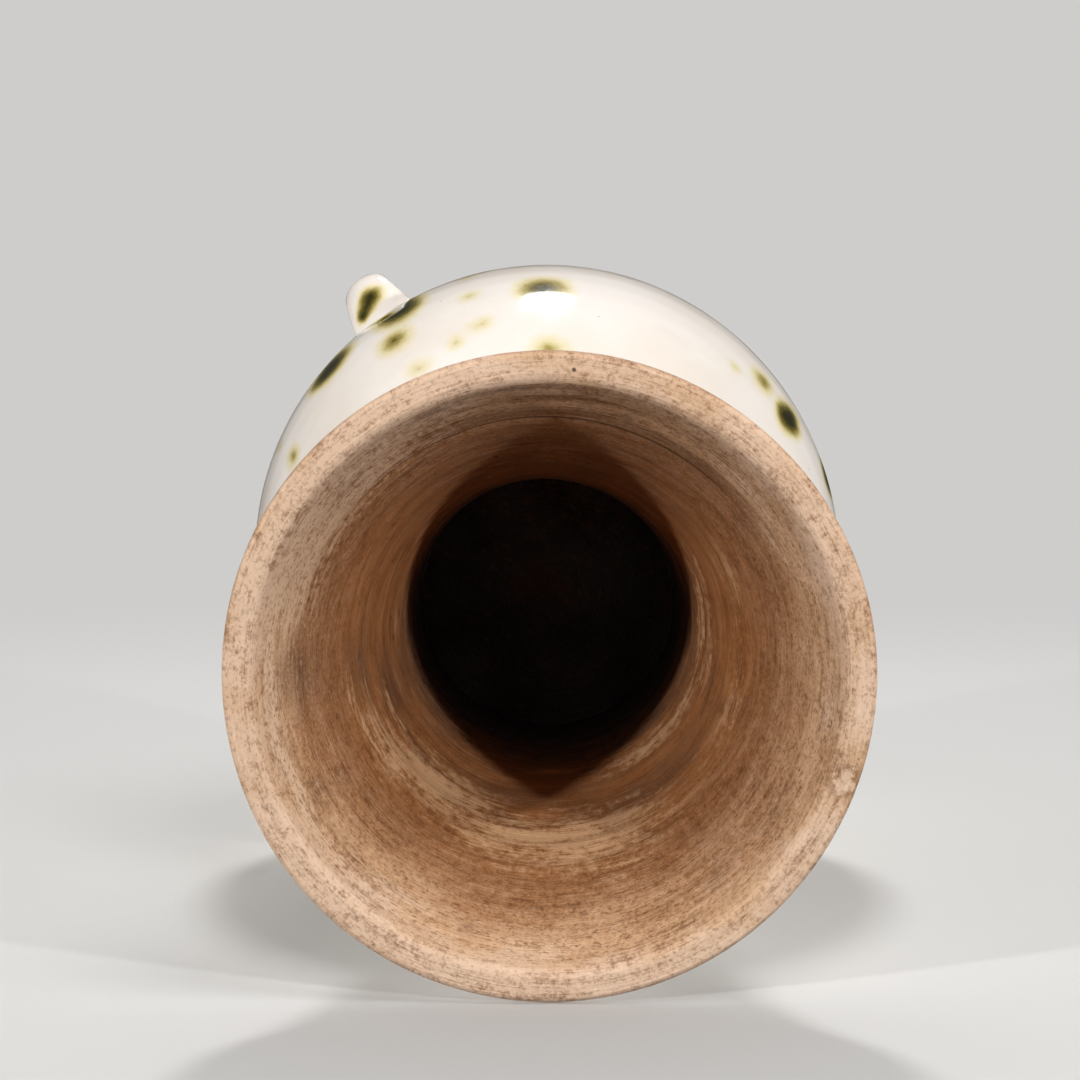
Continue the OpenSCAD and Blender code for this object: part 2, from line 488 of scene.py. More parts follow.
# Finishes
def glaze_finish_group():
    """Colour, roughness and height of the white glaze with its green splashes."""
    sockets = {"Colour": "Color", "Roughness": "Float", "Height": "Float"}
    group, given, result = new_group("glaze_finish", {"Position": "Vector"}, sockets)
    position = given.outputs["Position"]
    splashes = spot_field("green_splashes", splash_spots(), waver=1.1 * MM, features=170)
    distance = placed(group, splashes, Position=position).outputs["Distance"]
    ragged = calc(group, "MULTIPLY_ADD", noise(group, position, 900, 2), 0.16, -0.08)
    distance = calc(group, "ADD", distance, ragged)
    green = colour_ramp(group, calc(group, "MULTIPLY", distance, 0.5), [
        (0.00, srgb(28, 26, 0)),
        (0.22, srgb(46, 42, 0)),
        (0.36, srgb(98, 86, 4, 0.98)),
        (0.47, srgb(160, 140, 24, 0.86)),
        (0.58, srgb(216, 196, 82, 0.48)),
        (0.75, srgb(240, 224, 154, 0.0)),
    ])
    cloud = noise(group, position, 38, 3)
    cream = mixed(group, ramped(group, cloud, 0.3, 0.7), srgb(238, 227, 215), srgb(245, 237, 229))
    fleck = add(group, "TexVoronoi", {"Vector": position, "Scale": 260.0}, feature="F1")
    lot = add(group, "SeparateColor", {0: fleck.outputs["Color"]}).outputs[0]
    chosen = calc(group, "GREATER_THAN", lot, 0.9)
    dots = product(group, ramped(group, fleck.outputs["Distance"], 0.06, 0.13, 1.0, 0.0), chosen, 0.45)
    flecked = mixed(group, dots, cream, srgb(150, 112, 74))
    colour = mixed(group, green.outputs["Alpha"], flecked, green.outputs["Color"])
    rough = ramped(group, noise(group, position, 120, 3), 0.25, 0.75, 0.07, 0.13)
    group.links.new(colour, result.inputs["Colour"])
    group.links.new(rough, result.inputs["Roughness"])
    group.links.new(noise(group, position, 85, 2), result.inputs["Height"])
    return group


def turning_lines_group():
    """Streaks that run round the jar's axis, drawn along its outline by height and radius."""
    inputs = {"Position": "Vector", "Lines": "Float", "Reach": "Float", "Start": "Float"}
    group, given, result = new_group("turning_lines", inputs, {"Mask": "Float"})
    position = given.outputs["Position"]
    level = vector(group, "MULTIPLY", position, (1, 1, 0))
    radius = vector(group, "LENGTH", level, output="Value")
    height = add(group, "SeparateXYZ", {0: position}).outputs["Z"]
    along = calc(group, "SUBTRACT", height, radius)
    stepped = calc(group, "MULTIPLY_ADD", along, given.outputs["Lines"], given.outputs["Start"])
    round_axis = add(group, "VectorMath", {0: vector(group, "NORMALIZE", level)}, operation="SCALE")
    group.links.new(given.outputs["Reach"], round_axis.inputs["Scale"])
    drawn = vector(group, "ADD", round_axis.outputs[0], add(group, "CombineXYZ", {"Z": stepped}).outputs[0])
    group.links.new(noise(group, drawn, 1.0, 3, 0.55), result.inputs["Mask"])
    return group


def white_glaze_material(glaze):
    """Warm white gloss glaze with green splashes."""
    material, tree, surface = new_material("white_glaze")
    position = add(tree, "TexCoord").outputs["Object"]
    finish = placed(tree, glaze, Position=position)
    tree.links.new(finish.outputs["Colour"], surface.inputs["Base Color"])
    tree.links.new(finish.outputs["Roughness"], surface.inputs["Roughness"])
    bump = add(tree, "Bump", {"Strength": 0.12, "Distance": 0.4 * MM, "Height": finish.outputs["Height"]})
    tree.links.new(bump.outputs["Normal"], surface.inputs["Normal"])
    surface.inputs["IOR"].default_value = 1.5
    surface.inputs["Specular IOR Level"].default_value = 0.2
    return material


# Pale slip left in the foot's hollow: angle, depth, width and tallness in millimetres, and how faint
SLIP_SMEARS = [
    (347, 9, 46, 22, -0.4),
    (329, 9, 28, 26, -0.4),
    (2, 9, 30, 12, 0.3),
    (292, 5, 42, 6, -0.2),
    (276, 4.15, 8.5, 2.6, -0.6),
    (270, 43.5, 22, 17, 0.1),
    (252, 48, 26, 23, 0.0),
    (222, 43, 42, 20, 0.15),
    (203, 41, 28, 25, -0.1),
    (294, 38, 16, 5, 0.75),
    (282, 38.5, 12, 5, 0.5),
    (281, 55, 12, 6, 0.5),
    (273, 54, 10, 5, 0.55),
    (120, 63.5, 24, 6, 0.6),
    (126, 70, 28, 9, 0.45),
    (140, 67, 24, 7, 0.75),
    (158, 68.5, 24, 8, 0.6),
    (174, 70, 22, 8, 0.6),
    (115, 42, 30, 6, 0.9),
    (140, 42, 30, 6, 0.9),
    (95, 14, 10, 4, 0.1),
    (99, 12.5, 7, 3, 0.2),
]

# Dark stains in the hollow, written the same way; the two wide ones at 35 degrees are painted shade on the
# upper wall deep in the hollow
DARK_STAINS_AND_SHADE = [
    (303, 16, 20, 20, 0.3),
    (300, 45, 24, 20, 0.3),
    (287, 60, 20, 20, 0.2),
    (182, 51, 46, 16, 0.2),
    (232, 60, 34, 12, 0.4),
    # Painted shade: the upper wall deep in the hollow, darkened in colour as its shade
    (35, 50, 66, 64, 0.0),
    (35, 88, 62, 60, 0.0),
    (20, 14, 50, 8, 0.5),
    (75, 16, 40, 10, 0.5),
]

# Small holes in the clay, each painted dark as the shade inside it: angle, depth and width in millimetres
PIT_SHADE_SPOTS = [(-82, 85, 1.8), (-86, 84, 1.2), (-112, 80, 1.6), (-58, 69, 1.5), (-50, 66, 1.0), (20, 40, 1.2)]

# A pit, painted dark as the shade inside it, and the pale scar of a chip on the ring: angle, radius and
# width in millimetres
RING_PIT_SHADE = (39.8, 56.8, 1.0)
RING_SCAR = (144.2, 57.6, 5.6)

# Distance from the scar's middle at which its outline runs, a broken dark line painted as the shade at the
# chip's edge
SCAR_EDGE = 1.2

# Side of the hollow that has a line of dirt just inside the ring
DIRT_SIDE = (0.5, 0.87, 0.0)

# Side of the hollow with combed lines that end at a groove, along which a dark line is painted as the
# groove's shade, and that line's depth
COMBED_SIDE = (0.82, 0.57, 0.0)
CREASE_DEPTH = 17.4 * MM


def clay_spots():
    """The clay's slip smears, dark stains with some painted shade, small holes painted dark as shade, and
    the scar, each as a list of spots.
    """
    spots = {"slip_smears": [], "dark_stains_and_shade": [], "pit_shade": [], "ring_scar": []}
    for kind, marks in (("slip_smears", SLIP_SMEARS), ("dark_stains_and_shade", DARK_STAINS_AND_SHADE)):
        for azimuth, depth, width, tall, faint in marks:
            spots[kind].append((in_hollow(azimuth, depth), width * MM, tall * MM, faint))
    for azimuth, depth, width in PIT_SHADE_SPOTS:
        spots["pit_shade"].append((in_hollow(azimuth, depth), width * MM, width * MM, 0.0))
    for kind, (azimuth, r, width) in (("pit_shade", RING_PIT_SHADE), ("ring_scar", RING_SCAR)):
        turn = math.radians(azimuth)
        place = Vector((math.cos(turn), math.sin(turn), 0)) * r * MM
        spots[kind].append((place, width * MM, width * MM, 0.0))
    return spots


# Share of each colour that is left in the clay's low, dirty grain
SUNK_TINT = (0.44, 0.34, 0.27)

# Lines that turning left on the clay: lines for each metre, change round the axis, and where they start
TURNED_MARKS = {
    "around": (0.0, 1.6, 80.0),
    "bands": (90.0, 0.9, 3.0),
    "patches": (110.0, 3.0, 95.0),
    "strokes": (420.0, 2.3, 11.0),
    "combs": (700.0, 1.2, 120.0),
    "scratches": (1400.0, 4.2, 27.0),
    "specks": (1700.0, 46.0, 63.0),
    "hairs": (3000.0, 6.5, 41.0),
}

# Uneven tone of the clay: features for each metre, detail and roughness
CLAY_TONES = {
    "cloud": (45, 4, 0.6),
    "blotches": (75, 3, 0.6),
    "mottle": (520, 4, 0.7),
    "grain": (1500, 4, 0.75),
}


def clay_marks(tree, position, lines):
    """Masks of the clay's turned lines and of its uneven tone, by name."""
    marks = {}
    for name, (density, reach, start) in TURNED_MARKS.items():
        drawn = placed(tree, lines, Position=position, Lines=density, Reach=reach, Start=start)
        marks[name] = drawn.outputs["Mask"]
    for name, (features, detail, roughness) in CLAY_TONES.items():
        marks[name] = noise(tree, position, features, detail, roughness)
    return marks


def clay_dirt_and_crease_shade(tree, position, depth, marks):
    """Masks of the dirt on the clay, and of the dark line painted along the groove where the combed lines
    end as its shade.
    """
    towards_dirt = vector(tree, "DOT_PRODUCT", position, DIRT_SIDE, output="Value")
    towards_comb = vector(tree, "DOT_PRODUCT", position, COMBED_SIDE, output="Value")
    on_combed_side = ramped(tree, towards_comb, 0.024, 0.04)
    inside_ring = product(
        tree,
        ramped(tree, depth, 1.0 * MM, 2.4 * MM),
        ramped(tree, depth, 3.5 * MM, 9 * MM, 1.0, 0.0),
        ramped(tree, marks["around"], 0.36, 0.6, 0.2, 1.0),
        ramped(tree, marks["strokes"], 0.4, 0.62, 0.08, 0.45),
        ramped(tree, towards_dirt, -0.005, 0.03),
    )
    combed = product(
        tree,
        ramped(tree, depth, 3 * MM, 7 * MM),
        ramped(tree, depth, 15 * MM, 19 * MM, 1.0, 0.0),
        ramped(tree, marks["combs"], 0.5, 0.62, 0.0, 0.65),
        on_combed_side,
    )
    blotched = product(
        tree,
        ramped(tree, marks["blotches"], 0.56, 0.7, 0.0, 0.4),
        ramped(tree, depth, 4 * MM, 10 * MM),
    )
    stains = calc(tree, "MAXIMUM", calc(tree, "MAXIMUM", inside_ring, combed), blotched)
    # Painted shade: a dark line along the groove where the combed lines end
    off_crease = calc(tree, "ABSOLUTE", calc(tree, "SUBTRACT", depth, CREASE_DEPTH))
    crease_shade = product(tree, on_combed_side, ramped(tree, off_crease, 0.15 * MM, 0.55 * MM, 0.8, 0.0))
    return {"stains": stains, "crease_shade": crease_shade}


def clay_ground_and_deep_shade(tree, depth, marks):
    """Colour of the clay from the ring up to the end of the hollow: browner deeper in, and from three
    quarters of the way in darkened as painted shade of the deep throat.
    """
    shifted = swing(tree, depth, (marks["bands"], 0.022), (marks["cloud"], 0.026))
    ramp = colour_ramp(tree, calc(tree, "DIVIDE", shifted, HOLLOW_Z), [
        (0.00, srgb(220, 186, 158)),
        (0.06, srgb(203, 162, 124)),
        (0.15, srgb(176, 130, 91)),
        (0.23, srgb(156, 108, 69)),
        (0.36, srgb(158, 105, 60)),
        (0.52, srgb(147, 94, 51)),
        (0.64, srgb(140, 90, 50)),
        # From here on the colour is painted shade: the deep throat darkened and greyed to stand for its
        # shade
        (0.76, srgb(84, 57, 38)),
        (0.86, srgb(42, 29, 20)),
        (1.00, srgb(24, 16, 11)),
    ])
    return ramp.outputs["Color"]


def clay_grain(tree, depth, marks):
    """How much of the clay's grain and lines is sunk and dirty, and how much is raised and pale."""
    near_ring = ramped(tree, depth, 16 * MM, 60 * MM, 1.0, 0.5)
    grit = swing(tree, 0.0, (marks["grain"], 1.9), (marks["mottle"], 1.4))
    lines = swing(tree, 0.0, (marks["strokes"], 0.8), (marks["scratches"], 1.0), (marks["hairs"], 0.9))
    shade = swing(tree, lines, (marks["mottle"], 0.5), (marks["patches"], 0.9))
    shade = calc(tree, "MULTIPLY_ADD", grit, near_ring, shade)
    sunk = calc(tree, "MULTIPLY", calc(tree, "MINIMUM", shade, 0.0), -1.6)
    raised = calc(tree, "MULTIPLY", calc(tree, "MAXIMUM", shade, 0.0), 0.7)
    return calc(tree, "MINIMUM", sunk, 1.0), calc(tree, "MINIMUM", raised, 0.8)


def with_slip(tree, clay, depth, marks, distance, sunk):
    """The clay with torn smears of pale slip and thin streaks of it."""
    torn = swing(tree, distance, (marks["strokes"], -2.2), (marks["mottle"], -3.0))
    torn = swing(tree, torn, (marks["scratches"], -1.4), (marks["patches"], -1.4))
    slip = mixed(tree, ramped(tree, depth, 10 * MM, 32 * MM), srgb(220, 188, 158), srgb(210, 170, 129))
    dirty = vector(tree, "MULTIPLY", slip, SUNK_TINT)
    slip = mixed(tree, calc(tree, "MULTIPLY", sunk, 0.8), slip, dirty)
    slipped = mixed(tree, ramped(tree, torn, 1.35, 0.1, 0.0, 0.75), clay, slip)
    streaks = product(
        tree,
        ramped(tree, marks["strokes"], 0.56, 0.74),
        ramped(tree, depth, 25 * MM, 45 * MM),
        ramped(tree, depth, 75 * MM, 95 * MM, 0.5, 0.0),
    )
    return mixed(tree, streaks, slipped, srgb(182, 137, 97))


def with_scar(tree, clay, marks, distance):
    """The clay with the pale, torn scar of a chip, and a broken dark outline painted round it as the shade
    at the chip's edge.
    """
    torn = swing(tree, distance, (marks["mottle"], -3.0))
    scarred = mixed(tree, ramped(tree, torn, SCAR_EDGE, 0.4, 0.0, 0.45), clay, srgb(232, 208, 186))
    # Painted shade: the broken dark outline at the chip's edge
    off_edge = calc(tree, "ABSOLUTE", calc(tree, "SUBTRACT", torn, SCAR_EDGE))
    broken = ramped(tree, marks["grain"], 0.4, 0.55, 0.05, 0.45)
    outline = product(tree, ramped(tree, off_edge, 0.05, 0.25, 1.0, 0.0), broken)
    return mixed(tree, outline, scarred, srgb(104, 72, 52))


def clay_colour(tree, position, depth, marks):
    """Colour of the clay: ground, stains, grain and lines, slip, specks and a scar, with painted shade deep
    in the hollow, on its upper wall, in small holes, along a groove and round the scar.
    """
    spots = clay_spots()

    def distance(kind, waver, features):
        field = spot_field(kind, spots[kind], waver, features)
        return placed(tree, field, Position=position).outputs["Distance"]

    ground = clay_ground_and_deep_shade(tree, depth, marks)
    # Dark stains, and painted shade on the upper wall deep in the hollow, mixed into the ground colour
    stain_and_shade = distance("dark_stains_and_shade", waver=3 * MM, features=60)
    stain_and_shade = swing(tree, stain_and_shade, (marks["mottle"], -2.6), (marks["strokes"], -1.2))
    dark = calc(tree, "MAXIMUM", marks["stains"], ramped(tree, stain_and_shade, 1.3, 0.3, 0.0, 0.7))
    stained_and_shaded = mixed(tree, dark, ground, srgb(96, 64, 42))

    sunk, raised = clay_grain(tree, depth, marks)
    browned = vector(tree, "MULTIPLY", stained_and_shaded, SUNK_TINT)
    lifted = vector(tree, "MULTIPLY", ground, (1.35,) * 3)
    pale = mixed(tree, ramped(tree, depth, 8 * MM, 60 * MM, 0.55, 0.12), lifted, srgb(232, 211, 190))
    lined = mixed(tree, raised, mixed(tree, sunk, stained_and_shaded, browned), pale)
    smears = distance("slip_smears", waver=2.5 * MM, features=70)
    slipped = with_slip(tree, lined, depth, marks, smears, sunk)

    specks = product(
        tree,
        ramped(tree, marks["specks"], 0.55, 0.66),
        ramped(tree, depth, 18 * MM, 44 * MM, 0.7, 0.15),
        ramped(tree, depth, 1 * MM, 6 * MM, 0.45, 1.0),
    )
    specked = mixed(tree, specks, slipped, srgb(118, 78, 52))
    scarred = with_scar(tree, specked, marks, distance("ring_scar", waver=1.2 * MM, features=420))
    # Painted shade: small holes and the groove where the combed lines end, darkened in colour as the shade
    # inside them
    pit_and_groove_shade = ramped(tree, distance("pit_shade", waver=0.2 * MM, features=900), 0.7, 1.2, 0.85, 0.0)
    pit_and_groove_shade = calc(tree, "MAXIMUM", pit_and_groove_shade, marks["crease_shade"])
    return mixed(tree, pit_and_groove_shade, scarred, srgb(38, 24, 16))


def bare_clay_material(glaze, lines):
    """Buff clay with the marks of turning and of wear, and the glaze's edge on the foot ring."""
    material, tree, surface = new_material("bare_clay")
    position = add(tree, "TexCoord").outputs["Object"]
    radius = vector(tree, "LENGTH", vector(tree, "MULTIPLY", position, (1, 1, 0)), output="Value")
    depth = add(tree, "SeparateXYZ", {0: position}).outputs["Z"]
    marks = clay_marks(tree, position, lines)
    marks.update(clay_dirt_and_crease_shade(tree, position, depth, marks))
    clay = clay_colour(tree, position, depth, marks)

    # Way along the outline from the flat of the ring round its outer edge
    past_flat = calc(tree, "SUBTRACT", radius, FOOT_R - RING_EDGE)
    past_flat = calc(tree, "ADD", past_flat, calc(tree, "MINIMUM", depth, GLAZE_START))
    worn = ramped(tree, marks["cloud"], 0.35, 0.6, 0.05, 0.5)
    rubbed = product(tree, ramped(tree, past_flat, 0.7 * MM, 2.4 * MM), worn)
    edged = mixed(tree, rubbed, clay, srgb(124, 88, 66))
    glazed = ramped(tree, swing(tree, past_flat, (marks["around"], 3 * MM)), 2.8 * MM, 3.3 * MM)
    finish = placed(tree, glaze, Position=position)
    tree.links.new(mixed(tree, glazed, edged, finish.outputs["Colour"]), surface.inputs["Base Color"])

    rough = ramped(tree, marks["cloud"], 0.3, 0.7, 0.72, 0.92)
    rough = product(tree, rough, calc(tree, "MULTIPLY_ADD", glazed, -0.85, 1.0))
    tree.links.new(rough, surface.inputs["Roughness"])
    relief = swing(tree, 0.0, (marks["strokes"], 0.6), (marks["scratches"], 0.8))
    relief = swing(tree, relief, (marks["hairs"], 0.5), (marks["grain"], 0.35))
    relief = product(tree, relief, calc(tree, "SUBTRACT", 1.0, glazed))
    bump = add(tree, "Bump", {"Strength": 0.6, "Distance": 0.4 * MM, "Height": relief})
    tree.links.new(bump.outputs["Normal"], surface.inputs["Normal"])
    surface.inputs["Specular IOR Level"].default_value = 0.3
    return material


glaze_finish = glaze_finish_group()
turning_lines = turning_lines_group()
white_glaze = white_glaze_material(glaze_finish)
bare_clay = bare_clay_material(glaze_finish, turning_lines)
GLAZED, BARE = 0, 1


# Foot
# Grooves that a turning tool left in the hollow: depth in millimetres, middle angle and half reach in
# degrees, cut in millimetres, and rise of the groove for each degree
GROOVES = [
    (17.8, 2, 55, 0.22, 0),
    (22.5, 170, 80, 0.12, 0),
    (30.4, 60, 150, 0.16, 0),
    (9.2, 250, 70, 0.1, 0),
    (55, 200, 90, 0.14, 0),
    (36, 291, 46, 0.6, -0.22),
]
GROOVE_W = 0.7 * MM

# Chips on the ring: angle, then radius, reach and depth of the loss in millimetres
RING_CHIPS = [(143.5, 57.2, 2.6, 0.5), (147, 57.5, 2.0, 0.4), (140.8, 57.0, 1.8, 0.35)]


def hollow_shift(angle, z):
    """Outward shift of the hollow's wall from throwing ridges, turning lines and tool grooves."""
    eased = min(1, z / HOLLOW_PITCH) * min(1, (HOLLOW_Z - z) / HOLLOW_PITCH)
    shift = HOLLOW_RIDGE * math.sin(TURN * z / HOLLOW_PITCH + angle)
    shift += TURNING_RIDGE * math.sin(TURN * z / TURNING_PITCH + angle + 1.5 * math.sin(2 * angle + 40 * z))
    for depth, middle, reach, cut, rise in GROOVES:
        apart = (math.degrees(angle) - middle + 180) % 360 - 180
        if abs(apart) < reach:
            fade = math.cos(apart / reach * math.pi / 2)
            shift += cut * MM * fade * math.exp(-((z - (depth + rise * apart) * MM) / GROOVE_W) ** 2)
    return shift * eased


def wear_hollow(bm):
    """Shapes the wall of the foot's hollow with the marks of throwing and turning."""
    for vert in bm.verts:
        r = math.hypot(vert.co.x, vert.co.y)
        z = vert.co.z
        if z > HOLLOW_Z - MERGE or r > outer_radius(z) - RING_W / 2:
            continue
        grown = 1 + hollow_shift(math.atan2(vert.co.y, vert.co.x), z) / r
        vert.co.x *= grown
        vert.co.y *= grown


def chip_ring(bm):
    """Small losses along the ring, each a shallow, rough scoop."""
    rng = random.Random(5)
    for azimuth, r, reach, loss in RING_CHIPS:
        turn = math.radians(azimuth)
        middle = Vector((r * math.cos(turn), r * math.sin(turn), 0)) * MM
        for vert in bm.verts:
            share = (vert.co - middle).length / (reach * MM)
            if share < 1:
                vert.co.z += loss * MM * (1 - share ** 2) * rng.uniform(0.4, 1)


def pedestal_foot():
    """Trumpet foot: glazed outside, bare on the resting ring and in the hollow."""
    outer_edge = (FOOT_R - RING_EDGE, RING_EDGE)
    inner_edge = (RING_IN_R + WORN_EDGE, WORN_EDGE)
    fillet = (WAIST_R + WAIST_FILLET, WAIST_Z)
    half = math.pi / 2
    bm = thrown([
        arc(outer_edge, RING_EDGE, -half, OUTER_TURN, EDGE_STEP),
        arc(OUTER_CENTRE, OUTER_CURVE, math.pi + OUTER_TURN, math.pi, STEP),
        arc(fillet, WAIST_FILLET, math.pi, math.pi - BOWL_LEAN, ROLL_STEP),
        [(THROAT_R, SEAT_Z), (THROAT_R, HOLLOW_Z)],
        arc(INNER_CENTRE, INNER_CURVE, math.pi, math.pi + INNER_TURN, FINE_STEP, crowded=False),
        arc(inner_edge, WORN_EDGE, math.pi + INNER_TURN, 3 * half, EDGE_STEP),
        straight((RING_IN_R + WORN_EDGE, 0), (FOOT_R - RING_EDGE, 0), FINE_STEP),
    ], FOOT_SEGMENTS, closed=True)
    for face in bm.faces:
        centre = face.calc_center_median()
        r = math.hypot(centre.x, centre.y)
        outside = r > outer_radius(centre.z) - RING_W / 2 and centre.z > GLAZE_START
        face.material_index = GLAZED if outside else BARE
    wear_hollow(bm)
    chip_ring(bm)
    wobble(bm)
    return finished("pedestal_foot", bm, [white_glaze, bare_clay])


# Body
def lower_body():
    """Lower bowl, with its floor and the bare boss that plugs the foot's throat."""
    floor_z = SEAT_Z + FLOOR_T
    boss_r = THROAT_R - SLIP
    tongue_r = LAP_R - SLIP
    inner_curve = BOWL_CURVE - BODY_WALL
    floor_turn = math.asin((BELLY_Z - floor_z) / inner_curve)
    floor_r = BOWL_CENTRE[0] + inner_curve * math.cos(floor_turn)
    bm = thrown([
        straight((0, HOLLOW_Z), (boss_r, HOLLOW_Z), STEP),
        [(boss_r, SEAT_Z)],
        arc(BOWL_CENTRE, BOWL_CURVE, -BOWL_LEAN, 0, STEP),
        [(tongue_r, BELLY_Z), (tongue_r, LAP_TOP), (BELLY_R - BODY_WALL, LAP_TOP)],
        arc(BOWL_CENTRE, inner_curve, 0, -floor_turn, 2 * STEP),
        straight((floor_r, floor_z), (0, floor_z), 2 * STEP),
    ], SEGMENTS, closed=False)
    for face in bm.faces:
        face.material_index = BARE if face.calc_center_median().z < SEAT_Z - MM else GLAZED
    wobble(bm)
    return finished("lower_body", bm, [white_glaze, bare_clay])


def upper_body():
    """Shoulder, lapped over the bowl, with the opening for the neck."""
    inner_curve = SHOULDER_CURVE - BODY_WALL
    step_turn = math.asin((LAP_TOP - BELLY_Z) / inner_curve)
    opening_r = BORE_R + NECK_WALL / 2
    opening_turn = math.acos((opening_r - SHOULDER_CENTRE[0]) / inner_curve)
    bm = thrown([
        [(LAP_R, BELLY_Z)],
        arc(SHOULDER_CENTRE, SHOULDER_CURVE, 0, CROWN_TURN, STEP),
        [(opening_r, CROWN_Z)],
        arc(SHOULDER_CENTRE, inner_curve, opening_turn, step_turn, 2 * STEP),
        [(LAP_R, LAP_TOP)],
    ], SEGMENTS, closed=True)
    wobble(bm)
    return finished("upper_body", bm, [white_glaze])


def neck():
    """Short flared neck with a rolled lip and a spigot below."""
    fillet = (NECK_R + NECK_FILLET, NECK_Z)
    mid_curve = FLARE_CURVE + NECK_WALL / 2
    lip = (
        FLARE_CENTRE[0] - mid_curve * math.cos(FLARE_TURN),
        FLARE_CENTRE[1] + mid_curve * math.sin(FLARE_TURN),
    )
    spigot_r = BORE_R + NECK_WALL / 2 - SLIP
    # The lip's roll starts where its circle meets the two faces of the wall
    tuck = math.asin(NECK_WALL / 2 / LIP_R)
    lip_facing = math.pi / 2 - FLARE_TURN
    lip_start = lip_facing - math.pi + tuck
    lip_end = lip_facing + math.pi - tuck
    spread = math.sqrt(LIP_R ** 2 - (NECK_WALL / 2) ** 2)
    wall_end = math.pi - FLARE_TURN + spread / mid_curve
    bm = thrown([
        straight((BORE_R, SPIGOT_Z), (spigot_r, SPIGOT_Z), STEP),
        [(spigot_r, CROWN_Z)],
        arc(fillet, NECK_FILLET, math.pi + CROWN_TURN, math.pi, FILLET_STEP),
        arc(FLARE_CENTRE, FLARE_CURVE, math.pi, wall_end, FINE_STEP, crowded=False),
        arc(lip, LIP_R, lip_start, lip_end, ROLL_STEP, crowded=False),
        arc(FLARE_CENTRE, FLARE_CURVE + NECK_WALL, wall_end, math.pi, BORE_STEP, crowded=False),
    ], SEGMENTS, closed=True)
    wobble(bm)
    return finished("neck", bm, [white_glaze])


# Ears
def above_shoulder(point):
    """Height of a point above the shoulder's outside."""
    r = math.hypot(point.x, point.y)
    return math.dist((r, point.z), SHOULDER_CENTRE) - SHOULDER_CURVE


def ear(name, side):
    """Pulled loop of clay whose roots are smeared out on the shoulder."""
    root = Vector((
        SHOULDER_CENTRE[0] + SHOULDER_CURVE * math.cos(EAR_TURN),
        0,
        BELLY_Z + SHOULDER_CURVE * math.sin(EAR_TURN),
    ))
    outward = Vector((math.cos(EAR_TURN), 0, math.sin(EAR_TURN)))
    upward = Vector((-math.sin(EAR_TURN), 0, math.cos(EAR_TURN)))
    bm = bmesh.new()
    bmesh.ops.create_grid(bm, x_segments=EAR_SIDES, y_segments=EAR_RINGS, size=1.0)
    for vert in bm.verts:
        b = math.pi * vert.co.x
        a = math.pi / 2 + vert.co.y * (math.pi / 2 + EAR_OVERRUN)
        at_root = max(0, 1 - math.sin(a)) ** ROOT_TAPER
        width = EAR_W + EAR_ROOT_FLARE * at_root
        thickness = EAR_T + EAR_ROOT_FLARE / 3 * at_root
        middle = root + outward * (EAR_RISE * math.sin(a)) - upward * (EAR_SPAN * math.cos(a))
        along = outward * (EAR_RISE * math.cos(a)) + upward * (EAR_SPAN * math.sin(a))
        across = Vector((0, 1, 0)).cross(along).normalized()
        offset = Vector((0, width / 2 * math.cos(b), 0)) + across * (thickness / 2 * math.sin(b))
        clear = max(0, min(1, above_shoulder(middle + offset) / EAR_SMEAR_H))
        vert.co = middle + offset + offset.normalized() * (EAR_SMEAR * (1 - clear) ** 3)
    bmesh.ops.remove_doubles(bm, verts=bm.verts, dist=MERGE)
    bmesh.ops.holes_fill(bm, edges=[e for e in bm.edges if e.is_boundary])
    bmesh.ops.rotate(bm, verts=bm.verts, cent=(0, 0, 0), matrix=Matrix.Rotation(math.radians(side), 3, "Z"))
    wobble(bm)
    return finished(name, bm, [white_glaze])


pedestal_foot()
lower_body()
upper_body()
neck()
ear("right_ear", 0)
ear("left_ear", 180)

# The photograph's view: the jar lies on its side, with this direction up
UP_ANGLE = math.radians(35.2)
VIEW_UP = Vector((math.cos(UP_ANGLE), math.sin(UP_ANGLE), 0))
VIEW_RIGHT = Vector((-math.sin(UP_ANGLE), math.cos(UP_ANGLE), 0))
AXIS = Vector((0, 0, 1))
CAMERA_PITCH = math.radians(6.34)
CAMERA_PLACE = (VIEW_RIGHT * -1.63 + VIEW_UP * 91.97 - AXIS * 596.06) * MM
LENS = 110.23
SENSOR = 36
LYING_TILT = math.radians(2.94)

# Points that the lamps face
FOOT_MOUTH = Vector((0, 0, 0))
MIDDLE = Vector((0, 0, 0.15))
BELLY = Vector((0, 0, 0.18))


def facing(forward, up):
    """Rotation that looks along forward with up above, both at right angles."""
    right = forward.cross(up)
    return Matrix((right, up, -forward)).transposed()


def make_camera():
    """Camera at the photograph's place."""
    data = bpy.data.cameras.new("photo_view")
    data.lens = LENS
    data.sensor_width = SENSOR
    camera = bpy.data.objects.new("photo_view", data)
    forward = AXIS * math.cos(CAMERA_PITCH) - VIEW_UP * math.sin(CAMERA_PITCH)
    up = AXIS * math.sin(CAMERA_PITCH) + VIEW_UP * math.cos(CAMERA_PITCH)
    camera.matrix_world = Matrix.Translation(CAMERA_PLACE) @ facing(forward, up).to_4x4()
    bpy.context.scene.collection.objects.link(camera)
    bpy.context.scene.camera = camera
    data.clip_start = 0.01
    data.clip_end = 50


def lamp(name, place, size, level, target=MIDDLE, mirrored=True):
    """Round soft lamp. A level of 1 lights a face square to it just as its colour is written."""
    data = bpy.data.lights.new(name, "AREA")
    data.shape = "DISK"
    data.size = size
    data.energy = level * math.pi ** 2 * (place - target).length_squared
    light = bpy.data.objects.new(name, data)
    light.location = place
    light.rotation_mode = "QUATERNION"
    light.rotation_quaternion = (target - place).to_track_quat("-Z", "Y")
    light.visible_glossy = mirrored
    bpy.context.scene.collection.objects.link(light)


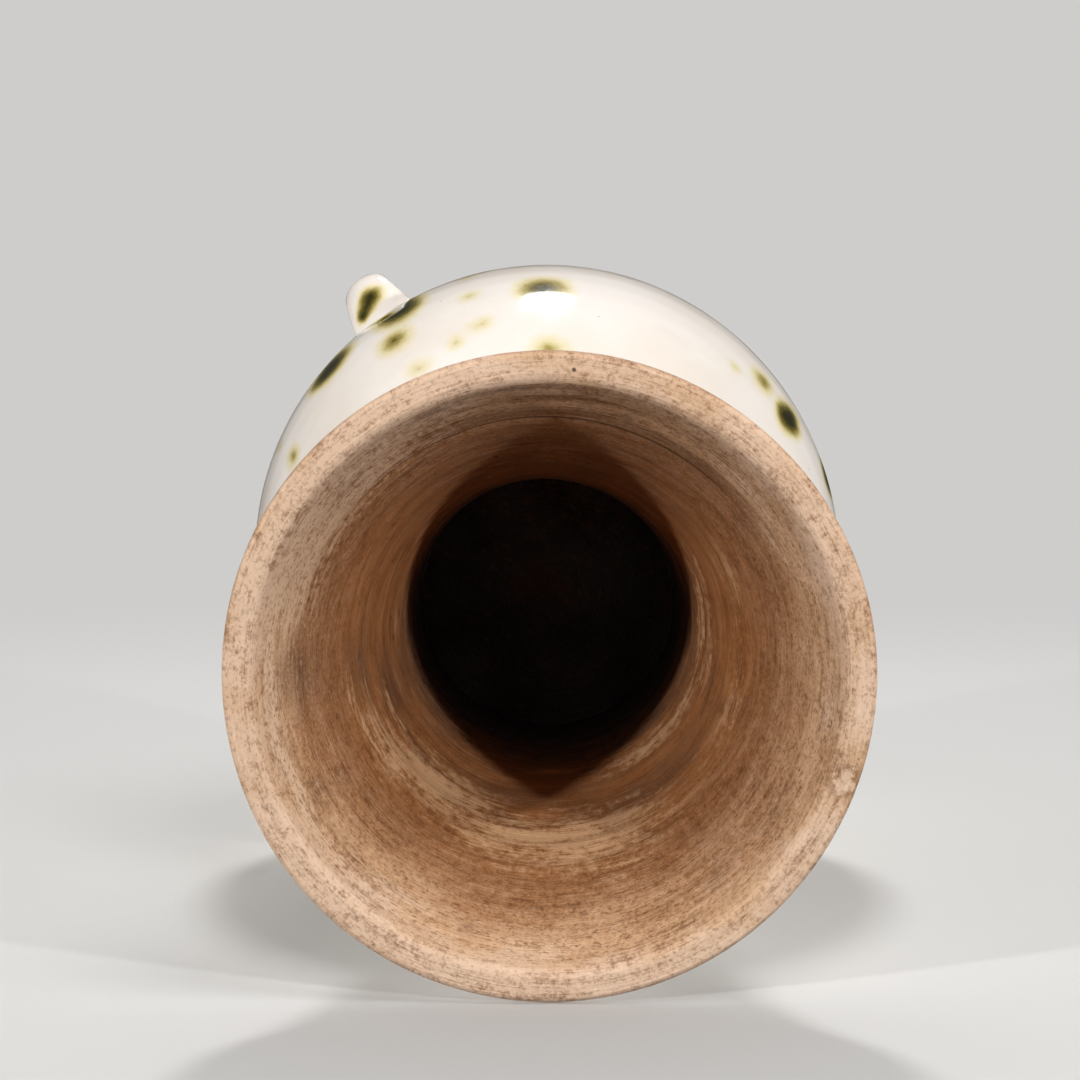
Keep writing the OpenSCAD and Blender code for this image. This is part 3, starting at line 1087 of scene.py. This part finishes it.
def from_photo(angle, off_axis, distance):
    """Place at a distance, from an angle in the photograph and one off the jar's axis, in degrees."""
    a = math.radians(angle)
    o = math.radians(off_axis)
    sideways = VIEW_RIGHT * math.cos(a) + VIEW_UP * math.sin(a)
    return (sideways * math.sin(o) - AXIS * math.cos(o)) * distance


def from_above(angle, rise, distance):
    """Place at a distance, from an angle round the upright jar and a height angle, both in degrees."""
    a = math.radians(angle)
    r = math.radians(rise)
    return Vector((math.cos(a) * math.cos(r), math.sin(a) * math.cos(r), math.sin(r))) * distance


def make_lamps():
    """Two lamps in front of the foot, a key above the lying jar, and broad fills."""
    lamp("front_left", from_photo(156.5, 46.8, 1.2), 0.06, 0.62, FOOT_MOUTH)
    lamp("front_right", from_photo(19.5, 46, 1.2), 0.06, 0.62, FOOT_MOUTH)
    lamp("key", VIEW_UP * 1.0 + AXIS * 1.19, 0.19, 0.58, BELLY)
    lamp("overhead", from_photo(68, 72, 1.4), 0.8, 0.4, mirrored=False)
    lamp("left_fill", from_photo(185, 92, 1.4), 0.8, 0.27, mirrored=False)
    lamp("back_fill", from_above(140, 42, 1.4), 0.6, 0.4)
    lamp("front_fill", from_above(230, 33, 1.5), 0.5, 0.35, mirrored=False)


# Backdrop and floor: colours, the ceiling's share of the backdrop, where the floor runs out into it, half of
# the floor's width, and the gap between floor and jar
BACKDROP = srgb(206, 205, 203)
FLOOR_COLOUR = srgb(200, 199, 197)
CEILING = 0.12
FLOOR_NEAR = 0.35
FLOOR_FAR = 1.0
FLOOR_HALF = 6
STAND_OFF = 0.3 * MM

# Clear panes in front of the photograph's camera: how many, half width, first distance and gap
PANES = 3
PANE_HALF = 30 * MM
PANE_FIRST = 30 * MM
PANE_GAP = 10 * MM


def make_world():
    """Pale backdrop at eye level, a dim ceiling that the jar mirrors, and a dim light from above.
    The camera also sees the backdrop straight overhead, which is behind the lying jar."""
    world = bpy.data.worlds.new("studio")
    bpy.context.scene.world = world
    world.use_nodes = True
    tree = world.node_tree
    tree.nodes.clear()
    upward = add(tree, "SeparateXYZ", {0: add(tree, "TexCoord").outputs["Generated"]}).outputs["Z"]
    dim = ramped(tree, upward, -0.5, 0.6, 0.02, 0.5)
    ambient = add(tree, "Background", {"Color": (1, 1, 1, 1), "Strength": dim})
    path = add(tree, "LightPath")
    eye_level = ramped(tree, upward, 0.3, 0.45, 1.0, CEILING)
    overhead = product(tree, ramped(tree, upward, 0.974, 0.984), path.outputs["Is Camera Ray"])
    bright = calc(tree, "MAXIMUM", eye_level, overhead)
    backdrop = add(tree, "Background", {"Color": BACKDROP, "Strength": bright})
    seen = calc(tree, "MAXIMUM", path.outputs["Is Camera Ray"], path.outputs["Is Glossy Ray"])
    seen = calc(tree, "MAXIMUM", seen, path.outputs["Is Transmission Ray"])
    shown = add(tree, "MixShader", {0: seen, 1: ambient.outputs[0], 2: backdrop.outputs[0]})
    output = add(tree, "OutputWorld")
    tree.links.new(shown.outputs[0], output.inputs["Surface"])


def camera_only(obj):
    """Keeps a stage piece out of the jar's light."""
    obj.visible_diffuse = False
    obj.visible_glossy = False
    obj.visible_transmission = False
    obj.visible_shadow = False


def stage_sheet(name, place, forward, up, half_width, half_length, material):
    """Flat sheet whose face looks along up."""
    bm = bmesh.new()
    bmesh.ops.create_grid(bm, x_segments=1, y_segments=1, size=1.0)
    right = forward.cross(up)
    turned = Matrix((right * half_width, forward * half_length, up)).transposed().to_4x4()
    bmesh.ops.transform(bm, verts=bm.verts, matrix=Matrix.Translation(place) @ turned)
    mesh = bpy.data.meshes.new(name)
    bm.to_mesh(mesh)
    bm.free()
    mesh.materials.append(material)
    sheet = bpy.data.objects.new(name, mesh)
    bpy.context.scene.collection.objects.link(sheet)
    camera_only(sheet)
    return sheet


def one_sided(name, colour, behind_panes):
    """Pale floor that shows from its upper side and runs out into the backdrop.
    Behind the panes, it shows only through all of them."""
    material, tree, surface = new_material(name)
    surface.inputs["Base Color"].default_value = colour
    surface.inputs["Roughness"].default_value = 0.9
    shown = calc(tree, "SUBTRACT", 1.0, add(tree, "NewGeometry").outputs["Backfacing"])
    if behind_panes:
        passed = add(tree, "LightPath").outputs["Transparent Depth"]
        shown = calc(tree, "MULTIPLY", shown, calc(tree, "GREATER_THAN", passed, PANES - 0.5))
    away = vector(tree, "LENGTH", add(tree, "TexCoord").outputs["Object"], output="Value")
    distant = add(tree, "Emission", {"Color": BACKDROP, "Strength": 1.0})
    floor = add(tree, "MixShader", {
        0: ramped(tree, away, FLOOR_NEAR, FLOOR_FAR), 1: surface.outputs[0], 2: distant.outputs[0],
    })
    clear = add(tree, "BsdfTransparent")
    blend = add(tree, "MixShader", {0: shown, 1: clear.outputs[0], 2: floor.outputs[0]})
    tree.links.new(blend.outputs[0], tree.nodes["Material Output"].inputs["Surface"])
    return material


def make_stage():
    """A floor under the upright jar, and one under the lying jar that only the photograph's view sees."""
    ground = one_sided("ground", FLOOR_COLOUR, False)
    stage_sheet("upright_floor", AXIS * -STAND_OFF, Vector((0, 1, 0)), AXIS, FLOOR_HALF, FLOOR_HALF, ground)
    lying = one_sided("lying_ground", FLOOR_COLOUR, True)
    up = AXIS * math.sin(LYING_TILT) + VIEW_UP * math.cos(LYING_TILT)
    forward = AXIS * math.cos(LYING_TILT) - VIEW_UP * math.sin(LYING_TILT)
    rest = VIEW_UP * -FOOT_R - up * STAND_OFF
    stage_sheet("lying_floor", rest, forward, up, FLOOR_HALF, FLOOR_HALF, lying)
    pane, tree, _ = new_material("clear_pane")
    clear = add(tree, "BsdfTransparent")
    tree.links.new(clear.outputs[0], tree.nodes["Material Output"].inputs["Surface"])
    for i in range(PANES):
        place = CAMERA_PLACE + AXIS * (PANE_FIRST + PANE_GAP * i)
        stage_sheet(f"pane_{i}", place, VIEW_UP, AXIS, PANE_HALF, PANE_HALF, pane)


make_camera()
make_lamps()
make_world()
make_stage()
bpy.context.scene.view_settings.view_transform = "Standard"
